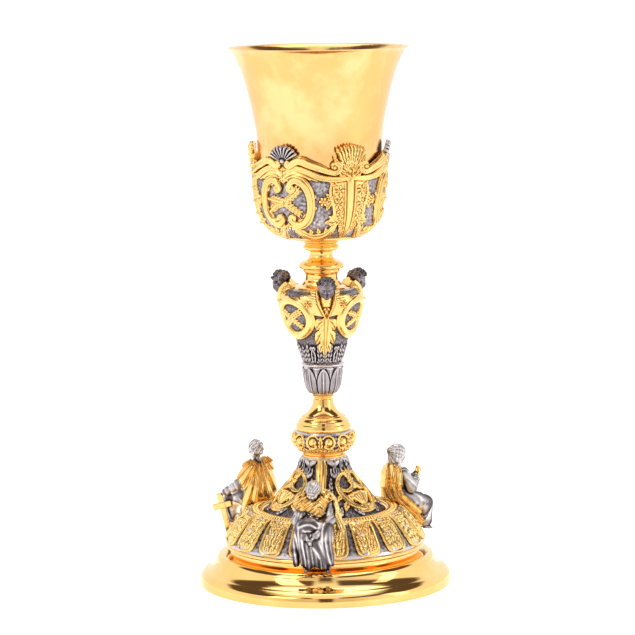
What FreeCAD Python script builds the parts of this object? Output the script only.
"""A baroque communion chalice, as the separate castings and turnings that its tie rod clamps together.

Millimetres, +Z up, origin at the centre of the foot's resting plane. The front is -Y.
An azimuth is measured in degrees round +Z from the front, positive towards +X.
"""
import FreeCAD, Part
import math
import os

V = FreeCAD.Vector
UP = V(0, 0, 1)

# ---- driving dimensions -------------------------------------------------------------------
# foot: a spun flange with a moulded step, and a plain neck under the cast dome
FOOT_R = 63.6            # outer radius of the flange
FLANGE_H = 7.4           # height of the flange's flat
FLANGE_BEVEL = 3.0       # how far the flange's rounded edge steps in
STEP_R = 55.2            # the moulded step above the flange
STEP_H = 15.3            # top of the step
GROOVE_INSET = 3.0       # the plain neck between the step and the dome, inside the dome's foot
GROOVE_H = 3.2
SPUN_WALL = 1.6          # sheet thickness of the spun flange
PLATE_T = 1.2            # closing plate
PLATE_RECESS = 0.8       # the plate sits this far above the table
PLATE_LEDGE = 1.0        # the flange's ledge that the plate bears on
DISH_R = 12.0            # recess in the closing plate for the nut
DISH_DEPTH = 8.2
FIT = 0.2                # radial clearance of loose seats

# foot: the cast dome and what is applied to it
RIM_RING_PROUD = 0.4     # gilt moulding under the dome, outside the dome's foot
RIM_RING_H = 2.4
DOME_R = 50.0            # foot of the fluted band
BAND_H = 15.4            # rise of the fluted band
CREST_SETBACK = 12.0     # the crest's outer edge, inside the dome's foot
CREST_BREADTH = 7.0
CREST_RING_T = 1.5
TRUMPET_H = 28.2         # rise of the trumpet above the crest
TRUMPET_TOP_R = 11.1
CAST_WALL = 1.8
FLUTES = 18
FLUTE_GAP = 4.25         # between two gilt flute mounts, wide enough for a figure's screw
FLUTE_MARGIN = 1.6       # from the mount to the band's edges
FOOT_MOUNT_T = 1.3       # thickness of the gilt mounts on the foot
FOOT_CARTOUCHE_W = 22.0
FOOT_CARTOUCHE_H = 15.2
FOOT_FRAME_W = 2.8       # width of the cartouche's frame
FOOT_PILASTER_W = 5.8

# seated figures
SEAT_INSET = 9.0         # hips inside the dome's foot
KNEE_OVERHANG = 5.0      # knees outside it
HEAD_SIZE = 4.2          # radius of a figure's head
TRUNK_H = 12.0           # hips to breast
LAP_DROP = 3.6           # knees below the hips
SHIN_H = 20.0            # hips to hem
HIP_R = 5.2              # radii of a figure's parts
BREAST_R = 4.6
NECK_LIMB_R = 1.9
SHOULDER_R = 2.4
UPPER_ARM_R = 2.2
ELBOW_R = 1.8
HAND_R = 1.3
THIGH_R = 3.6
KNEE_LIMB_R = 2.9
ANKLE_R = 2.3
TOE_R = 1.9
SKIRT_R = 6.2            # the skirt at its hem
HIP_SPREAD = 2.6         # how far to each side of the middle
KNEE_SPREAD = 3.6
TOE_SPREAD = 4.2
SHOULDER_SPREAD = 5.4
MANTLE_R = 9.6           # the cloak at its hem
MANTLE_NECK_R = 4.4
MANTLE_OPEN = 150.0      # degrees left open at the front
MANTLE_T = 1.3
CROSS_H = 25.0
CROSS_ARM = 10.5
CROSS_BAR = 2.2
CROSS_OVERHANG = 5.6     # the cross outside the dome's foot
VESSEL_R = 1.9           # the little jar held by one figure
VESSEL_H = 4.6
SCREW_R = 1.2            # figure screws
SCREW_HEAD_R = 2.2
SCREW_HEAD_T = 1.4
SCREW_BITE = 4.0         # how far a screw enters its figure
SCREW_INSET = 8.0        # from the dome's inner face to a screw's head
SCREW_TURN = 2.0         # degrees round from its figure, between two flute mounts

# stem, from the foot up
COLLAR_R = 11.2
COLLAR_H = 2.4
TORUS_R = 15.2
TORUS_H = 10.6
TORUS_MOUNTS = 6
TORUS_MOUNT_W = 10.8
TORUS_MOUNT_T = 0.7
BELL_R = 14.0
BELL_H = 18.8
WAIST_R = 5.0            # the narrow neck of the stem
LEAF_R = 9.4
LEAF_H = 13.7
KNOP_RING_R = 11.0
KNOP_RING_H = 2.4

# knop: a cast vase
KNOP_FOOT_R = 9.0
KNOP_R = 19.2
KNOP_H = 37.4
KNOP_TOP_R = 15.0
KNOP_WALL = 1.6
KNOP_MOUNT_T = 1.3
KNOP_CARTOUCHE_W = 22.0
KNOP_CARTOUCHE_H = 20.2
KNOP_FRAME_W = 2.8
WING_SPAN = 23.2
WING_T = 1.6
CAP_H = 2.2
NECK_R = 8.2
NECK_H = 5.6
DISC_R = 11.3
DISC_H = 5.4
SPOOL_R = 5.8
SPOOL_H = 10.6
SPOOL_TOP_R = 10.4
CHERUB_R = 4.5           # cherub's head
CHERUB_REACH = 22.8      # its centre from the axis
CHERUB_RISE = 1.2        # and above the knop's shoulder
CHERUB_NECK_R = 2.6

# calyx and cup
CALYX_R = 32.3
CALYX_BOWL_H = 31.0      # where the bowl turns into the straight wall
CALYX_H = 37.6
CALYX_WALL = 1.0
CALYX_MOUNT_T = 1.5
CALYX_CARTOUCHE_W = 27.6
CALYX_CARTOUCHE_H = 23.2
CALYX_FRAME_W = 3.6
PILASTER_W = 19.6
RIM_PLATE_T = 2.1        # palmettes and shells on the straight wall
GARLAND_R = 2.4
SHELL_H = 11.0
PALMETTE_H = 17.5
CUP_GAP = 0.5            # between the cup and the calyx
CUP_H = 91.6             # the cup's own height
CUP_RIM_R = 45.4
CUP_WALL = 0.9

# the threaded core
ROD_R = 3.0
ROD_GAP = 0.3            # the rod's clearance in the pieces it passes
COUPLER_R = 4.5
COUPLER_HEAD_R = 7.2
COUPLER_HEAD_T = 1.4
COUPLER_END_GAP = 0.6    # between the coupler's end and the collar under it
NUT_R = 6.4              # across the corners, halved
NUT_H = 4.6
WASHER_R = 9.0
WASHER_T = 1.0
ROD_PROUD = 1.8          # the rod's end below its nut
CUP_WASHER_R = 7.6
CUP_WASHER_T = 0.8
BOSS_R = 8.6
BOSS_T = 1.6
STUD_L = 8.4             # from the boss down into the coupler
STUD_END_GAP = 0.8       # between the stud's end and the rod's
THREAD_GAP = 0.05

# azimuth of the first piece of each ring
FIGURE_AZIMUTH = -6.0
FOOT_CARTOUCHE_AZIMUTH = 54.0
FLUTE_AZIMUTH = 6.0
TORUS_MOUNT_AZIMUTH = -6.0
CHERUB_AZIMUTH = 6.0
KNOP_CARTOUCHE_AZIMUTH = 66.0
PALMETTE_AZIMUTH = 27.0
CALYX_CARTOUCHE_AZIMUTH = 87.0

# ---- radii that follow the dome -----------------------------------------------------------
GROOVE_R = DOME_R - GROOVE_INSET
RIM_RING_R = DOME_R + RIM_RING_PROUD
CREST_R = DOME_R - CREST_SETBACK
CREST_IN_R = CREST_R - CREST_BREADTH
FLUTE_W = 2 * math.pi * DOME_R / FLUTES - FLUTE_GAP
SEAT_R = DOME_R - SEAT_INSET
KNEE_R = DOME_R + KNEE_OVERHANG
CROSS_R = DOME_R + CROSS_OVERHANG

# ---- stacked levels -----------------------------------------------------------------------
Z_STEP = STEP_H
Z_GROOVE = Z_STEP + GROOVE_H
Z_DOME = Z_GROOVE + RIM_RING_H
Z_CREST = Z_DOME + BAND_H
Z_TRUMPET = Z_CREST + TRUMPET_H
Z_COLLAR = Z_TRUMPET + COLLAR_H
Z_TORUS = Z_COLLAR + TORUS_H
Z_BELL = Z_TORUS + BELL_H
Z_LEAF = Z_BELL + LEAF_H
Z_KNOP = Z_LEAF + KNOP_RING_H
Z_CAP = Z_KNOP + KNOP_H
Z_NECK = Z_CAP + CAP_H
Z_DISC = Z_NECK + NECK_H
Z_SPOOL = Z_DISC + DISC_H
Z_CALYX = Z_SPOOL + SPOOL_H
Z_CALYX_FLOOR = Z_CALYX + CALYX_WALL
Z_WASHER = Z_CALYX_FLOOR + COUPLER_HEAD_T
Z_BOSS = Z_WASHER + CUP_WASHER_T
Z_CUP = Z_BOSS + BOSS_T
Z_CALYX_TOP = Z_CALYX + CALYX_H
ROD_HOLE_R = ROD_R + ROD_GAP
COUPLER_HOLE_R = COUPLER_R + FIT


# ---- geometry helpers ---------------------------------------------------------------------
def spline(points):
    """A smooth curve through (radius, height) points, in the XZ plane."""
    curve = Part.BSplineCurve()
    curve.interpolate([V(r, 0, z) for r, z in points])
    return curve


def offset(points, distance):
    """The points of a profile, moved to its left by distance."""
    curve = spline(points)
    moved = []
    for r, z in points:
        tangent = curve.tangent(curve.parameter(V(r, 0, z)))[0]
        moved.append((r - tangent.z * distance, z + tangent.x * distance))
    return moved


def outline(*runs):
    """A closed wire from runs of points: a run of two is a line, and a longer one a smooth curve.

    Gaps between one run's end and the next run's start are closed with lines."""
    edges = []
    ends = []
    for run in runs:
        points = [V(r, 0, z) for r, z in run]
        if len(points) > 2:
            edges.append(spline(run).toShape())
        elif len(points) == 2:
            edges.append(Part.makeLine(*points))
        ends.append((points[0], points[-1]))
    for here, after in zip(ends, ends[1:] + ends[:1]):
        if here[1].distanceToPoint(after[0]) > 1e-6:
            edges.append(Part.makeLine(here[1], after[0]))
    return Part.Wire(Part.__sortEdges__(edges))


def turned(wire, start=-180.0, angle=360.0):
    """The solid that a wire sweeps round the axis."""
    face = Part.Face(wire)
    solid = face.revolve(V(0, 0, 0), UP, angle)
    if start != -180.0:
        solid.rotate(V(0, 0, 0), UP, start)
    return closed(solid)


def closed(shape):
    """shape as outward solids."""
    solids = shape.Solids or [Part.Solid(Part.Shell(shape.Faces))]
    for solid in solids:
        if solid.Volume < 0:
            solid.reverse()
    return solids[0] if len(solids) == 1 else Part.makeCompound(solids)


def biggest(shape):
    """The largest solid of a cut shape, without the crumbs."""
    return max(shape.Solids, key=lambda solid: solid.Volume)


def cut_all(shape, tools):
    for tool in tools:
        shape = shape.cut(tool)
    return shape


def around(first_azimuth, count):
    return [first_azimuth + 360.0 * k / count for k in range(count)]


def at_azimuth(shape, azimuth):
    """shape, made facing +X, turned to an azimuth from the front."""
    placed = shape.copy()
    placed.rotate(V(0, 0, 0), UP, azimuth - 90.0)
    return placed


def ring_of(shape, first_azimuth, count):
    """One node of equal solids, evenly round the axis."""
    return Part.makeCompound([at_azimuth(shape, azimuth) for azimuth in around(first_azimuth, count)])


def tube(outer, inner, low, high):
    """An upright tube between two levels."""
    solid = Part.makeCylinder(outer, high - low, V(0, 0, low))
    return solid.cut(Part.makeCylinder(inner, high - low, V(0, 0, low)))


def hexagon(radius, low, high):
    corners = [math.radians(60 * k) for k in range(7)]
    wire = Part.makePolygon([V(radius * math.cos(a), radius * math.sin(a), low) for a in corners])
    return Part.Face(wire).extrude(V(0, 0, high - low))


def ball(centre, radius):
    return Part.makeSphere(radius, V(*centre))


def limb(start, end, start_r, end_r):
    """The pieces of a tapered limb with rounded ends."""
    a, b = V(*start), V(*end)
    run = b - a
    if abs(start_r - end_r) < 1e-6:
        rod = Part.makeCylinder(start_r, run.Length, a, run)
    else:
        rod = Part.makeCone(start_r, end_r, run.Length, a, run)
    return [rod, ball(start, start_r), ball(end, end_r)]


def fused(shapes):
    whole = shapes[0].multiFuse(shapes[1:]) if len(shapes) > 1 else shapes[0]
    return closed(whole.removeSplitter())


def mirrored(side):
    """The right-hand side of an outline, (across, up) from its foot, with its left-hand side added."""
    return side + [(-y, z) for y, z in side[::-1] if y > 0]


def legs(points):
    """The straight runs between successive points."""
    return [[a, b] for a, b in zip(points, points[1:])]


def plane_wire(points):
    """A closed wire in the YZ plane through (across, up) points."""
    corners = [V(0, y, z) for y, z in points]
    return Part.makePolygon(corners + corners[:1])


def oval(centre, half_w, half_h, turn=0.0):
    """An oval in the YZ plane, its long axis turned by turn degrees."""
    big, small = max(half_w, half_h), min(half_w, half_h)
    ellipse = Part.Ellipse(V(0, 0, 0), big, small)
    wire = Part.Wire(ellipse.toShape())
    wire.rotate(V(0, 0, 0), V(0, 1, 0), 90)
    if half_w >= half_h:
        wire.rotate(V(0, 0, 0), V(1, 0, 0), 90)
    wire.rotate(V(0, 0, 0), V(1, 0, 0), turn)
    wire.translate(V(0, centre[0], centre[1]))
    return wire


def prism(wire, near, far):
    """The outline pushed radially outwards, from near to far."""
    face = Part.Face(wire)
    face.translate(V(near, 0, 0))
    return face.extrude(V(far - near, 0, 0))


def applied(profile, thickness, wires, hole=None, half_angle=40.0):
    """A mount that follows a turned profile: the band outside it, cut to outlines seen along the radius."""
    outer = offset(profile, -thickness)
    band = turned(outline(profile, outer[::-1]), -half_angle, 2 * half_angle)
    far = max(r for r, _ in profile) + 3 * thickness
    near = min(r for r, _ in profile) * 0.3
    piece = band.common(fused([prism(wire, near, far) for wire in wires]))
    return piece.cut(prism(hole, near, far)) if hole else piece


def framed(profile, thickness, middle, width, height, bar):
    """An oval frame on a turned profile."""
    rim = oval((0, middle), width / 2, height / 2)
    opening = oval((0, middle), width / 2 - bar, height / 2 - bar)
    return [applied(profile, thickness, [rim], opening)]


# ---- profiles, foot to cup: (radius, height) -----------------------------------------------
def mix(low, high, share):
    return low + (high - low) * share


BAND = [
    (DOME_R, Z_DOME),
    (DOME_R - 0.9, Z_DOME + BAND_H * 0.17),
    (DOME_R - 4.6, Z_DOME + BAND_H * 0.52),
    (CREST_R + 3.9, Z_CREST - BAND_H * 0.20),
    (CREST_R, Z_CREST),
]
TRUMPET = [
    (CREST_IN_R, Z_CREST),
    (mix(TRUMPET_TOP_R, CREST_IN_R, 0.73), Z_CREST + TRUMPET_H * 0.15),
    (mix(TRUMPET_TOP_R, CREST_IN_R, 0.50), Z_CREST + TRUMPET_H * 0.34),
    (mix(TRUMPET_TOP_R, CREST_IN_R, 0.23), Z_CREST + TRUMPET_H * 0.57),
    (mix(TRUMPET_TOP_R, CREST_IN_R, 0.06), Z_CREST + TRUMPET_H * 0.80),
    (TRUMPET_TOP_R, Z_TRUMPET),
]
TORUS = [
    (COLLAR_R, Z_COLLAR),
    (mix(COLLAR_R, TORUS_R, 0.65), Z_COLLAR + TORUS_H * 0.25),
    (TORUS_R, Z_COLLAR + TORUS_H * 0.66),
    (BELL_R - 0.2, Z_TORUS),
]
LEAF = [
    (WAIST_R + 0.2, Z_BELL),
    (LEAF_R * 0.80, Z_BELL + LEAF_H * 0.19),
    (LEAF_R * 0.92, Z_BELL + LEAF_H * 0.50),
    (LEAF_R, Z_LEAF),
]
KNOP = [
    (KNOP_FOOT_R, Z_KNOP),
    (mix(KNOP_FOOT_R, KNOP_R, 0.20), Z_KNOP + KNOP_H * 0.17),
    (mix(KNOP_FOOT_R, KNOP_R, 0.57), Z_KNOP + KNOP_H * 0.40),
    (mix(KNOP_FOOT_R, KNOP_R, 0.92), Z_KNOP + KNOP_H * 0.62),
    (KNOP_R, Z_KNOP + KNOP_H * 0.80),
    (mix(KNOP_TOP_R, KNOP_R, 0.80), Z_KNOP + KNOP_H * 0.93),
    (KNOP_TOP_R, Z_CAP),
]
CALYX_BOWL = [
    (SPOOL_TOP_R, Z_CALYX),
    (CALYX_R * 0.62, Z_CALYX + CALYX_BOWL_H * 0.10),
    (CALYX_R * 0.86, Z_CALYX + CALYX_BOWL_H * 0.31),
    (CALYX_R * 0.97, Z_CALYX + CALYX_BOWL_H * 0.65),
    (CALYX_R, Z_CALYX + CALYX_BOWL_H),
]
CUP_SIDE_R = CALYX_R - CALYX_WALL - CUP_GAP
CUP_FOOT_R = BOSS_R + 0.4
CUP = [
    (CUP_FOOT_R, Z_CUP),
    (CUP_SIDE_R * 0.62, Z_CUP + CUP_H * 0.030),
    (CUP_SIDE_R * 0.85, Z_CUP + CUP_H * 0.110),
    (CUP_SIDE_R * 0.965, Z_CUP + CUP_H * 0.26),
    (CUP_SIDE_R, Z_CUP + CUP_H * 0.40),
    (mix(CUP_SIDE_R, CUP_RIM_R, 0.05), Z_CUP + CUP_H * 0.52),
    (mix(CUP_SIDE_R, CUP_RIM_R, 0.21), Z_CUP + CUP_H * 0.68),
    (mix(CUP_SIDE_R, CUP_RIM_R, 0.52), Z_CUP + CUP_H * 0.87),
    (mix(CUP_SIDE_R, CUP_RIM_R, 0.79), Z_CUP + CUP_H * 0.956),
    (CUP_RIM_R, Z_CUP + CUP_H),
]


# ---- the foot -----------------------------------------------------------------------------
OVOLO = [
    (STEP_R, Z_STEP - 3.2), (STEP_R - 0.7, Z_STEP - 1.7),
    (STEP_R - 1.8, Z_STEP - 0.6), (STEP_R - 3.2, Z_STEP),
]
PLATE_TOP = PLATE_RECESS + PLATE_T
DISH_UNDER = PLATE_RECESS + DISH_DEPTH


def base_flange():
    """The spun flange, its wall of even thickness, with a ledge inside for the closing plate."""
    edge_z = FLANGE_H * 0.35
    edge_in = FOOT_R - FLANGE_BEVEL
    cavity_r = FOOT_R - SPUN_WALL
    step_in = STEP_R - SPUN_WALL
    bevel = [(FOOT_R, edge_z), (FOOT_R - 0.7, FLANGE_H * 0.72), (edge_in, FLANGE_H)]
    cove = [
        (STEP_R + 4.6, FLANGE_H + 0.2), (STEP_R + 2.7, FLANGE_H + 1.3),
        (STEP_R + 1.2, FLANGE_H + 2.9), OVOLO[0],
    ]
    inside = [
        (GROOVE_R - SPUN_WALL, Z_GROOVE),
        (GROOVE_R - SPUN_WALL, Z_STEP - SPUN_WALL),
        (OVOLO[-1][0] - SPUN_WALL, Z_STEP - SPUN_WALL),
        (step_in, OVOLO[0][1] - SPUN_WALL),
        (step_in, FLANGE_H - SPUN_WALL),
        (edge_in - SPUN_WALL, FLANGE_H - SPUN_WALL),
        (cavity_r - PLATE_LEDGE, edge_z),
        (cavity_r - PLATE_LEDGE, PLATE_TOP),
        (cavity_r, PLATE_TOP),
        (cavity_r, 0),
    ]
    groove = [(GROOVE_R, Z_STEP), (GROOVE_R, Z_GROOVE)]
    runs = [[(FOOT_R, 0), bevel[0]], bevel, cove, OVOLO, groove, *legs(inside)]
    return turned(outline(*runs))


def base_plate():
    """The closing plate, dished at its middle to hide the nut."""
    outer_r = FOOT_R - SPUN_WALL - FIT
    taper = 1.0
    dish_top = DISH_UNDER + PLATE_T
    points = [
        (outer_r, PLATE_RECESS), (outer_r, PLATE_TOP), (DISH_R + PLATE_T, PLATE_TOP),
        (DISH_R + PLATE_T - taper, dish_top), (ROD_HOLE_R, dish_top), (ROD_HOLE_R, DISH_UNDER),
        (DISH_R - taper, DISH_UNDER), (DISH_R, PLATE_RECESS),
    ]
    return turned(outline(*legs(points + points[:1])))


def dome_rim_ring():
    edge = [(RIM_RING_R - 0.9, Z_GROOVE), (RIM_RING_R, (Z_GROOVE + Z_DOME) / 2), (RIM_RING_R - 0.5, Z_DOME)]
    inner_r = GROOVE_R - SPUN_WALL
    return turned(outline(edge, [(inner_r, Z_DOME), (inner_r, Z_GROOVE)]))


def foot_dome():
    """Fluted band, crest and trumpet as one cast shell, drilled for the figures' screws."""
    band_in = offset(BAND, CAST_WALL)
    band_in[0] = (DOME_R - CAST_WALL, Z_DOME)
    band_in[-1] = (CREST_R - CAST_WALL * 0.6, Z_CREST - CAST_WALL)
    trumpet_in = offset(TRUMPET, CAST_WALL)
    trumpet_in[0] = (CREST_IN_R - CAST_WALL * 0.4, Z_CREST - CAST_WALL)
    trumpet_in[-1] = (TRUMPET_TOP_R - CAST_WALL, Z_TRUMPET)
    shell = turned(outline(BAND, TRUMPET, trumpet_in[::-1], band_in[::-1]))
    holes = [screw_shank(SCREW_R + FIT, azimuth) for azimuth in around(FIGURE_AZIMUTH, 3)]
    return shell.cut(Part.makeCompound(holes))


def crest_ring():
    middle = mix(CREST_IN_R, CREST_R, 0.5)
    return turned(outline([(CREST_R, Z_CREST), (middle, Z_CREST + CREST_RING_T), (CREST_IN_R, Z_CREST)]))


def flute_mounts():
    """The gilt tombstone-shaped mounts of the fluted band."""
    low, high = Z_DOME + FLUTE_MARGIN, Z_CREST - FLUTE_MARGIN
    middle = (low + high) / 2
    half = FLUTE_W / 2
    side = [(half * 0.45, low), (half * 0.80, low + 1.6), (half, middle), (half * 0.84, high)]
    mount = applied(BAND, FOOT_MOUNT_T, [plane_wire(mirrored(side))], half_angle=20.0)
    return ring_of(mount, FLUTE_AZIMUTH, FLUTES)


def foot_cartouche():
    """A scrolled oval frame with a boss inside, on the trumpet's slope."""
    middle = Z_CREST + TRUMPET_H * 0.34
    frame = framed(TRUMPET, FOOT_MOUNT_T, middle, FOOT_CARTOUCHE_W, FOOT_CARTOUCHE_H, FOOT_FRAME_W)
    small = oval((0, middle), FOOT_CARTOUCHE_W * 0.16, FOOT_CARTOUCHE_H * 0.24)
    boss = applied(TRUMPET, FOOT_MOUNT_T, [small])
    return frame + [boss]


def foot_pilasters():
    low, high = Z_CREST + TRUMPET_H * 0.50, Z_TRUMPET - 1.5
    half = FOOT_PILASTER_W / 2
    side = [(half, low), (half * 0.8, high - 1.5), (0, high)]
    strip = applied(TRUMPET, FOOT_MOUNT_T, [plane_wire(mirrored(side))], half_angle=30.0)
    return ring_of(strip, FIGURE_AZIMUTH, 3)


# ---- the seated figures -------------------------------------------------------------------
SEAT_Z = Z_CREST + CREST_RING_T + 3.6
SCREW_Z = Z_DOME + BAND_H * 0.42


class Figure:
    """One seated figure: how low it sits, how far it bows, and where its elbows and hands are.

    Elbows and hands are (outwards, sideways, up) from the middle of the breast, right then left."""

    def __init__(self, drop, bow, elbows, hands):
        self.seat_z = SEAT_Z - drop
        self.breast_z = self.seat_z + TRUNK_H
        self.bow = bow
        self.elbows = elbows
        self.hands = hands

    def body(self):
        """Head, trunk, arms, lap and skirt, facing +X, as one casting that fits the foot."""
        hem_z = self.seat_z - SHIN_H
        shoulder_z = self.breast_z + BREAST_R * 0.72
        shoulder_out = SEAT_R - 0.5
        head = (SEAT_R + self.bow, 0, self.breast_z + HEAD_SIZE * 2.3 - self.bow * 0.6)
        neck = (SEAT_R, 0, shoulder_z)
        yoke = [(shoulder_out, side * (SHOULDER_SPREAD - 1.8), shoulder_z) for side in (-1, 1)]
        parts = limb(neck, head, NECK_LIMB_R, NECK_LIMB_R) + [ball(head, HEAD_SIZE)]
        parts += limb((SEAT_R, 0, self.seat_z), (SEAT_R, 0, self.breast_z), HIP_R, BREAST_R)
        parts += limb(*yoke, SHOULDER_R, SHOULDER_R)
        skirt_h = SHIN_H - LAP_DROP + 0.6
        parts.append(Part.makeCone(SKIRT_R, BREAST_R, skirt_h, V(KNEE_R - 0.6, 0, hem_z)))
        for side, elbow, hand in zip((-1, 1), self.elbows, self.hands):
            hip = (SEAT_R, side * HIP_SPREAD, self.seat_z)
            knee = (KNEE_R, side * KNEE_SPREAD, self.seat_z - LAP_DROP)
            ankle = (KNEE_R + 0.4, side * (TOE_SPREAD - 0.3), hem_z + ANKLE_R)
            toe = (KNEE_R + 1.0, side * TOE_SPREAD, hem_z + 0.4)
            shoulder = (shoulder_out, side * SHOULDER_SPREAD, shoulder_z)
            elbow_at, hand_at = [self.reach(side, point) for point in (elbow, hand)]
            parts += limb(hip, knee, THIGH_R, KNEE_LIMB_R) + limb(knee, ankle, KNEE_LIMB_R, ANKLE_R)
            parts += limb(shoulder, elbow_at, UPPER_ARM_R, ELBOW_R)
            parts += limb(elbow_at, hand_at, ELBOW_R, HAND_R)
            parts.append(ball(toe, TOE_R))
        return fused(parts)

    def reach(self, side, point):
        """A point of an arm, from the breast."""
        out, across, up = point
        return SEAT_R + out, side * across, self.breast_z + up

    def mantle(self):
        """The cloak over shoulders and back, open to the front."""
        low, high = self.seat_z - 3.0, self.breast_z + 6.2
        outside = [
            (MANTLE_R, low), (MANTLE_R * 0.92, mix(low, high, 0.38)),
            (MANTLE_R * 0.79, mix(low, high, 0.80)), (MANTLE_NECK_R, high),
        ]
        wire = outline(outside, offset(outside, MANTLE_T)[::-1])
        shell = turned(wire, MANTLE_OPEN / 2, 360.0 - MANTLE_OPEN)
        shell.translate(V(SEAT_R, 0, 0))
        return shell


FIGURE_KINDS = {
    "kneeling": Figure(6.0, 4.0, [(3.4, 7.4, -4.6)] * 2, [(8.6, 1.4, -5.6)] * 2),
    "with_vessel": Figure(0.0, 0.5, [(3.4, 7.0, -4.8)] * 2, [(7.4, 2.2, -0.6)] * 2),
    "with_cross": Figure(
        0.0, 0.5, [(4.2, 7.4, -3.6), (3.4, 7.2, -5.0)], [(11.2, 8.4, -5.4), (9.0, 1.6, -6.0)]),
}


HELD_TURN = {"with_vessel": 0.0, "with_cross": -11.0}      # degrees round from the figure that holds it


def foot_envelope():
    """Everything the figures lean on, filled in to the axis."""
    top_z = Z_CREST + CREST_RING_T
    low = [(FOOT_R, 0), (FOOT_R, FLANGE_H), (STEP_R + 1.6, FLANGE_H + 3.2), OVOLO[0]]
    rim = [(RIM_RING_R, Z_STEP), (RIM_RING_R, Z_DOME)]
    return turned(outline(
        *legs(low), OVOLO, rim, offset(BAND, -FOOT_MOUNT_T), [(CREST_R, top_z), (CREST_IN_R, top_z)],
        offset(TRUMPET, -FOOT_MOUNT_T), [(0, Z_TRUMPET), (0, 0)]))


def screw_shank(radius, azimuth):
    """The path of one figure screw, through the band, between two flute mounts."""
    start = DOME_R - CAST_WALL - SCREW_INSET
    length = DOME_R + SCREW_BITE - 1.0 - start
    shank = Part.makeCylinder(radius, length, V(start, 0, SCREW_Z), V(1, 0, 0))
    return at_azimuth(shank, azimuth + SCREW_TURN)


def figure_screws():
    """Three screws from inside the dome, their heads clear of its wall."""
    head_at = DOME_R - CAST_WALL - SCREW_INSET
    screws = []
    for azimuth in around(FIGURE_AZIMUTH, 3):
        head = Part.makeCylinder(SCREW_HEAD_R, SCREW_HEAD_T, V(head_at, 0, SCREW_Z), V(1, 0, 0))
        screws.append(screw_shank(SCREW_R, azimuth).fuse(at_azimuth(head, azimuth + SCREW_TURN)))
    return Part.makeCompound(screws)


def standing_cross():
    """A plain Latin cross, its foot on the step, facing +X."""
    low = Z_STEP + 0.4
    beam_z = low + CROSS_H * 0.68
    near = CROSS_R - CROSS_BAR / 2
    upright = Part.makeBox(CROSS_BAR, CROSS_BAR, CROSS_H, V(near, -CROSS_BAR / 2, low))
    beam = Part.makeBox(CROSS_BAR, CROSS_ARM, CROSS_BAR, V(near, -CROSS_ARM / 2, beam_z))
    return fused([upright, beam])


def small_vessel():
    """The jar between the hands of the figure that holds it."""
    hand = FIGURE_KINDS["with_vessel"].hands[0]
    low = FIGURE_KINDS["with_vessel"].breast_z + hand[2] - VESSEL_H * 0.3
    return Part.makeCone(VESSEL_R * 0.8, VESSEL_R, VESSEL_H, V(SEAT_R + hand[0] + 0.6, 0, low))


def figures():
    """Each figure with its cloak and what it holds, fitted to the foot and to each other."""
    envelope = foot_envelope()
    screws = figure_screws()
    held = {
        "with_vessel": ("small_vessel", small_vessel()),
        "with_cross": ("standing_cross", standing_cross()),
    }
    nodes = {}
    for (kind, figure), azimuth in zip(FIGURE_KINDS.items(), around(FIGURE_AZIMUTH, 3)):
        body = at_azimuth(figure.body(), azimuth).cut(envelope).cut(screws)
        if kind in held:
            node, thing = held[kind]
            nodes[node] = biggest(at_azimuth(thing, azimuth + HELD_TURN[kind]).cut(envelope))
            body = body.cut(nodes[node])
        nodes["figure_" + kind] = biggest(body)
        cloak = at_azimuth(figure.mantle(), azimuth).cut(envelope).cut(nodes["figure_" + kind])
        nodes["mantle_" + kind] = biggest(cloak)
    return nodes


# ---- stem and knop ------------------------------------------------------------------------
def foot_collar():
    side = [(COLLAR_R, Z_TRUMPET), (COLLAR_R - 0.5, (Z_TRUMPET + Z_COLLAR) / 2), (COLLAR_R, Z_COLLAR)]
    return turned(outline(side, [(ROD_HOLE_R, Z_COLLAR), (ROD_HOLE_R, Z_TRUMPET)]))


def stem_torus():
    return turned(outline(TORUS, [(ROD_HOLE_R, Z_TORUS), (ROD_HOLE_R, Z_COLLAR)]))


def torus_mounts():
    egg = oval((0, Z_COLLAR + TORUS_H * 0.58), TORUS_MOUNT_W / 2, TORUS_H * 0.34)
    mount = applied(TORUS, TORUS_MOUNT_T, [egg], half_angle=28.0)
    return ring_of(mount, TORUS_MOUNT_AZIMUTH, TORUS_MOUNTS)


def lower_stem():
    """The turned bell between the torus and the leaf cup, bored for the tie rod."""
    foot = [
        (BELL_R - 0.4, Z_TORUS), (BELL_R, Z_TORUS + 1.8),
        (BELL_R - 0.6, Z_TORUS + 3.6), (BELL_R - 3.0, Z_TORUS + 5.6),
    ]
    bead = [(BELL_R - 3.6, Z_TORUS + 6.0), (BELL_R - 3.2, Z_TORUS + 6.6), (BELL_R - 3.8, Z_TORUS + 7.4)]
    cove = [
        (BELL_R - 4.8, Z_TORUS + 7.6), (WAIST_R + 1.4, Z_TORUS + 10.0),
        (WAIST_R + 0.2, Z_TORUS + 12.8), (WAIST_R, Z_BELL - 2.4),
    ]
    ring = [(WAIST_R, Z_BELL - 1.8), (WAIST_R + 0.5, Z_BELL - 1.0), (WAIST_R, Z_BELL - 0.2)]
    core = [(WAIST_R, Z_BELL), (ROD_HOLE_R, Z_BELL), (ROD_HOLE_R, Z_TORUS), foot[0]]
    return turned(outline(foot, bead, cove, ring, *legs(core)))


def leaf_cup():
    return turned(outline(LEAF, [(ROD_HOLE_R, Z_LEAF), (ROD_HOLE_R, Z_BELL)]))


def knop_ring():
    bulge = Z_LEAF + KNOP_RING_H * 0.45
    edge = [(KNOP_RING_R - 1.4, Z_LEAF), (KNOP_RING_R, bulge), (KNOP_RING_R - 1.2, Z_KNOP)]
    return turned(outline(edge, [(ROD_HOLE_R, Z_KNOP), (ROD_HOLE_R, Z_LEAF)]))


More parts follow.
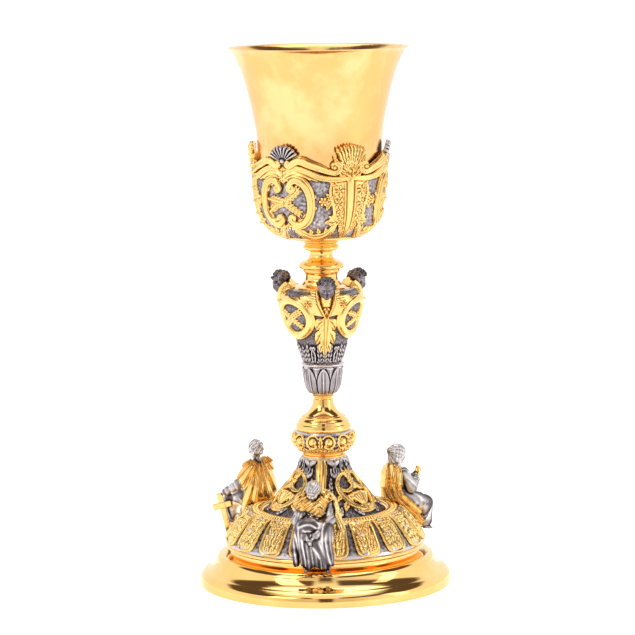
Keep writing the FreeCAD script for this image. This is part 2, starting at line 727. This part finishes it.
def knop_body():
    """The cast vase, hollow, with a floor that the tie rod passes."""
    inner = offset(KNOP, KNOP_WALL)
    inner[0] = (KNOP_FOOT_R - KNOP_WALL, Z_KNOP + KNOP_WALL)
    inner[-1] = (KNOP_TOP_R - KNOP_WALL * 0.6, Z_CAP)
    return turned(outline(KNOP, inner[::-1], [(ROD_HOLE_R, Z_KNOP + KNOP_WALL), (ROD_HOLE_R, Z_KNOP)]))


def knop_cartouche():
    """An oval frame round a small plain cross."""
    middle = Z_KNOP + KNOP_H * 0.55
    bar, arm, high = 0.8, 3.0, 5.0
    arm_low, arm_high = middle + 0.6, middle + 2.2
    side = [
        (bar, middle - high), (bar, arm_low), (arm, arm_low),
        (arm, arm_high), (bar, arm_high), (bar, middle + high),
    ]
    cross = applied(KNOP, KNOP_MOUNT_T, [plane_wire(mirrored(side))])
    return framed(KNOP, KNOP_MOUNT_T, middle, KNOP_CARTOUCHE_W, KNOP_CARTOUCHE_H, KNOP_FRAME_W) + [cross]


def knop_leaves():
    """The long acanthus leaf under each cherub."""
    tip, top = Z_KNOP + 1.2, Z_KNOP + KNOP_H * 0.62
    side = [
        (0.0, 0.0), (1.6, 0.20), (2.9, 0.36), (2.2, 0.43),
        (3.8, 0.57), (2.6, 0.67), (4.6, 0.86), (2.4, 1.0),
    ]
    side = [(y, mix(tip, top, share)) for y, share in side]
    leaf = applied(KNOP, KNOP_MOUNT_T, [plane_wire(mirrored(side))], half_angle=30.0)
    return ring_of(leaf, CHERUB_AZIMUTH, 3)


def knop_wings():
    """The spread wings under a cherub's head."""
    low, high = Z_KNOP + KNOP_H * 0.66, Z_KNOP + KNOP_H * 0.97
    half = WING_SPAN / 2
    side = [(0.0, 0.0), (0.40, 0.21), (0.78, 0.36), (1.0, 0.74), (0.81, 1.0), (0.28, 0.95)]
    side = [(half * out, mix(low, high, share)) for out, share in side]
    return applied(KNOP, WING_T, [plane_wire(mirrored(side))], half_angle=42.0)


def cherub_head():
    """A child's head on a short neck that grows out of the knop's shoulder."""
    centre = (CHERUB_REACH, 0, Z_CAP + CHERUB_RISE)
    root = (KNOP_R - 0.5, 0, Z_CAP - 6.0)
    return fused([ball(centre, CHERUB_R)] + limb(root, centre, CHERUB_NECK_R, CHERUB_NECK_R))


def knop_cap():
    """The gilt lid of the vase."""
    slope = [(KNOP_TOP_R, Z_CAP), (KNOP_TOP_R - 1.4, Z_CAP + CAP_H * 0.5), (NECK_R + 1.6, Z_NECK)]
    return turned(outline(slope, [(ROD_HOLE_R, Z_NECK), (ROD_HOLE_R, Z_CAP)]))


def upper_collar():
    """Necking and disc above the knop."""
    neck = [(NECK_R + 0.8, Z_NECK), (NECK_R, Z_NECK + NECK_H * 0.5), (NECK_R + 0.4, Z_DISC)]
    edge = [(NECK_R + 1.2, Z_DISC + 0.6), (DISC_R, Z_DISC + DISC_H * 0.66), (DISC_R - 1.7, Z_SPOOL)]
    core = [(ROD_HOLE_R, Z_SPOOL), (ROD_HOLE_R, Z_NECK)]
    return turned(outline(neck, edge, core))


def upper_spool():
    """The turned spool that carries the calyx. Its bore takes the coupler."""
    ring_low = Z_CALYX - 4.6
    cove = [(DISC_R - 2.2, Z_SPOOL), (SPOOL_R + 1.2, Z_SPOOL + 1.4), (SPOOL_R, Z_SPOOL + 3.4)]
    ring = [(SPOOL_R + 2.0, ring_low), (SPOOL_R + 3.1, ring_low + 1.4), (SPOOL_R + 2.0, ring_low + 2.8)]
    lip = [(SPOOL_TOP_R - 1.2, Z_CALYX - 1.6), (SPOOL_TOP_R, Z_CALYX)]
    bore = [(COUPLER_HOLE_R, Z_CALYX), (COUPLER_HOLE_R, Z_SPOOL)]
    return turned(outline(cove, [(SPOOL_R, ring_low - 0.8), ring[0]], ring, lip, bore))


# ---- calyx and cup ------------------------------------------------------------------------
def calyx_shell():
    """The cast calyx: a bowl that turns into a straight wall round the cup."""
    inner = offset(CALYX_BOWL, CALYX_WALL)
    inner[0] = (SPOOL_TOP_R, Z_CALYX_FLOOR)
    inner[-1] = (CALYX_R - CALYX_WALL, Z_CALYX + CALYX_BOWL_H)
    wall = [CALYX_BOWL[-1], (CALYX_R, Z_CALYX_TOP), (CALYX_R - CALYX_WALL, Z_CALYX_TOP), inner[-1]]
    floor = [(COUPLER_HOLE_R, Z_CALYX_FLOOR), (COUPLER_HOLE_R, Z_CALYX)]
    return turned(outline(CALYX_BOWL, *legs(wall), inner[::-1], floor))


def calyx_cartouche():
    """The heavy oval frame, with two crossed rods inside it."""
    middle = Z_CALYX + CALYX_BOWL_H * 0.66
    frame = framed(CALYX_BOWL, CALYX_MOUNT_T, middle, CALYX_CARTOUCHE_W, CALYX_CARTOUCHE_H, CALYX_FRAME_W)
    rods = [oval((0, middle), CALYX_CARTOUCHE_W * 0.31, 1.2, turn) for turn in (28, -28)]
    return frame + [applied(CALYX_BOWL, CALYX_MOUNT_T, rods, half_angle=34.0)]


def calyx_pilaster():
    """The flowered panel under a palmette."""
    low, high = Z_CALYX + CALYX_BOWL_H * 0.14, Z_CALYX + CALYX_BOWL_H * 0.98
    half = PILASTER_W / 2
    side = [(0.30, 0.0), (0.65, 0.23), (0.90, 0.50), (1.0, 0.73), (0.72, 0.92), (0.5, 1.0)]
    side = [(half * out, mix(low, high, share)) for out, share in side]
    return applied(CALYX_BOWL, CALYX_MOUNT_T, [plane_wire(mirrored(side))], half_angle=30.0)


def fan(base_z, height, lobes, spread, root):
    """A fan of lobes, as a scallop shell or palmette is outlined."""
    points = [(-root, base_z)]
    steps = lobes * 4
    for k in range(steps + 1):
        angle = math.radians(mix(-spread, spread, k / steps))
        reach = height * (0.90 + 0.10 * abs(math.sin(math.pi * lobes * k / steps)))
        points.append((reach * math.sin(angle), base_z + reach * math.cos(angle)))
    return plane_wire(points + [(root, base_z)])


def wall_plate(wire):
    """A mount on the straight upper wall of the calyx, which may stand above it."""
    tall = CALYX_H + PALMETTE_H
    skin = tube(CALYX_R + RIM_PLATE_T, CALYX_R, Z_CALYX, Z_CALYX + tall)
    return skin.common(prism(wire, CALYX_R * 0.7, CALYX_R + 2 * RIM_PLATE_T))


def palmette():
    return wall_plate(fan(Z_CALYX + CALYX_BOWL_H, PALMETTE_H, 7, 34, 4.0))


def rim_shells():
    shell = wall_plate(fan(Z_CALYX_TOP - 1.6, SHELL_H, 7, 52, 2.4))
    return ring_of(shell, CALYX_CARTOUCHE_AZIMUTH, 3)


def garland(shell_azimuth, side):
    """One moulded scroll, from beside a shell down to a volute beside a palmette."""
    radius = CALYX_R + GARLAND_R - 0.5
    route = [(2.0, 0.6), (14.0, 0.0), (26.0, -2.6), (37.0, -4.6), (46.0, -4.2)]
    points = []
    for degrees, rise in route:
        a = math.radians(shell_azimuth + side * degrees - 90.0)
        points.append(V(radius * math.cos(a), radius * math.sin(a), Z_CALYX_TOP + rise))
    path = Part.BSplineCurve()
    path.interpolate(points)
    section = Part.Wire(Part.makeCircle(GARLAND_R, points[0], path.tangent(path.FirstParameter)[0]))
    pipe = closed(Part.Wire(path.toShape()).makePipeShell([section], True, False))
    return fused([pipe, Part.makeSphere(GARLAND_R * 1.3, points[-1])])


def garlands(neighbours):
    """All six scrolls, cut back to the calyx and to the mounts beside them."""
    wall = Part.makeCylinder(CALYX_R, CALYX_H * 2, V(0, 0, Z_CALYX))
    scrolls = []
    for azimuth in around(CALYX_CARTOUCHE_AZIMUTH, 3):
        for side in (-1, 1):
            scroll = garland(azimuth, side).cut(wall)
            for neighbour in neighbours:
                scroll = scroll.cut(neighbour)
            scrolls.append(biggest(scroll))
    return Part.makeCompound(scrolls)


def cup():
    """The spun drinking cup: a deep bell with a flared lip and an even wall."""
    inner = offset(CUP, CUP_WALL)
    inner[0] = (CUP_FOOT_R, Z_CUP + CUP_WALL)
    inner[-1] = (CUP_RIM_R - CUP_WALL, Z_CUP + CUP_H)
    return turned(outline(CUP, inner[::-1], [(0, Z_CUP + CUP_WALL), (0, Z_CUP)]))


def cup_boss():
    """The boss soldered under the cup, and the stud that screws into the coupler."""
    disc = Part.makeCylinder(BOSS_R, BOSS_T, V(0, 0, Z_BOSS))
    stud = Part.makeCylinder(ROD_R - THREAD_GAP, STUD_L, V(0, 0, Z_BOSS - STUD_L))
    return fused([disc, stud])


# ---- the threaded core --------------------------------------------------------------------
def stem_coupler():
    """The headed nut in the calyx floor that pulls the stack together and takes the cup's stud."""
    head = tube(COUPLER_HEAD_R, ROD_R, Z_CALYX_FLOOR, Z_WASHER)
    return fused([head, tube(COUPLER_R, ROD_R, Z_SPOOL + COUPLER_END_GAP, Z_CALYX_FLOOR)])


def core_pieces():
    washer_low = DISH_UNDER - WASHER_T
    nut_low = washer_low - NUT_H
    rod_low = nut_low - ROD_PROUD
    rod_top = Z_BOSS - STUD_L - STUD_END_GAP
    nut = hexagon(NUT_R, nut_low, washer_low)
    return {
        "tie_rod": Part.makeCylinder(ROD_R, rod_top - rod_low, V(0, 0, rod_low)),
        "base_washer": tube(WASHER_R, ROD_HOLE_R, washer_low, DISH_UNDER),
        "base_nut": nut.cut(Part.makeCylinder(ROD_R, NUT_H, V(0, 0, nut_low))),
        "stem_coupler": stem_coupler(),
        "cup_washer": tube(CUP_WASHER_R, ROD_R, Z_WASHER, Z_BOSS),
    }


# ---- all the pieces -----------------------------------------------------------------------
def one_each(name, make, first_azimuth, count=3):
    """Separate nodes NAME_1, NAME_2 and so on, evenly round the axis."""
    piece = make()
    pieces = piece if isinstance(piece, list) else [piece]
    placed = {}
    for number, azimuth in enumerate(around(first_azimuth, count), 1):
        placed[f"{name}_{number}"] = Part.makeCompound([at_azimuth(p, azimuth) for p in pieces])
    return placed


def build():
    nodes = {
        "base_flange": base_flange(),
        "base_plate": base_plate(),
        "dome_rim_ring": dome_rim_ring(),
        "foot_dome": foot_dome(),
        "crest_ring": crest_ring(),
        "flute_mounts": flute_mounts(),
        "foot_pilasters": foot_pilasters(),
        "figure_screws": figure_screws(),
        "foot_collar": foot_collar(),
        "stem_torus": stem_torus(),
        "torus_mounts": torus_mounts(),
        "lower_stem": lower_stem(),
        "leaf_cup": leaf_cup(),
        "knop_ring": knop_ring(),
        "knop_body": knop_body(),
        "knop_leaves": knop_leaves(),
        "knop_cap": knop_cap(),
        "upper_collar": upper_collar(),
        "upper_spool": upper_spool(),
        "calyx_shell": calyx_shell(),
        "rim_shells": rim_shells(),
        "cup": cup(),
        "cup_boss": cup_boss(),
    }
    nodes.update(figures())
    nodes.update(core_pieces())
    nodes.update(one_each("foot_cartouche", foot_cartouche, FOOT_CARTOUCHE_AZIMUTH))
    nodes.update(one_each("knop_cartouche", knop_cartouche, KNOP_CARTOUCHE_AZIMUTH))
    nodes.update(one_each("knop_wings", knop_wings, CHERUB_AZIMUTH))
    nodes.update(one_each("calyx_cartouche", calyx_cartouche, CALYX_CARTOUCHE_AZIMUTH))
    nodes.update(one_each("calyx_pilaster", calyx_pilaster, PALMETTE_AZIMUTH))
    nodes.update(one_each("palmette", palmette, PALMETTE_AZIMUTH))
    for number, azimuth in enumerate(around(CHERUB_AZIMUTH, 3), 1):
        vase = [nodes["knop_body"], nodes["knop_cap"], nodes[f"knop_wings_{number}"]]
        nodes[f"cherub_head_{number}"] = biggest(cut_all(at_azimuth(cherub_head(), azimuth), vase))
    beside = [nodes["rim_shells"]]
    for number in (1, 2, 3):
        beside += [nodes[f"palmette_{number}"], nodes[f"calyx_pilaster_{number}"]]
    nodes["garlands"] = garlands(beside)
    return nodes


def main():
    os.makedirs("parts", exist_ok=True)
    for name, shape in build().items():
        shape.exportStep(f"parts/{name}.step")
        print(f"{name}: {len(shape.Solids)} solid(s), {shape.Volume:.0f} mm3, valid {shape.isValid()}")


main()
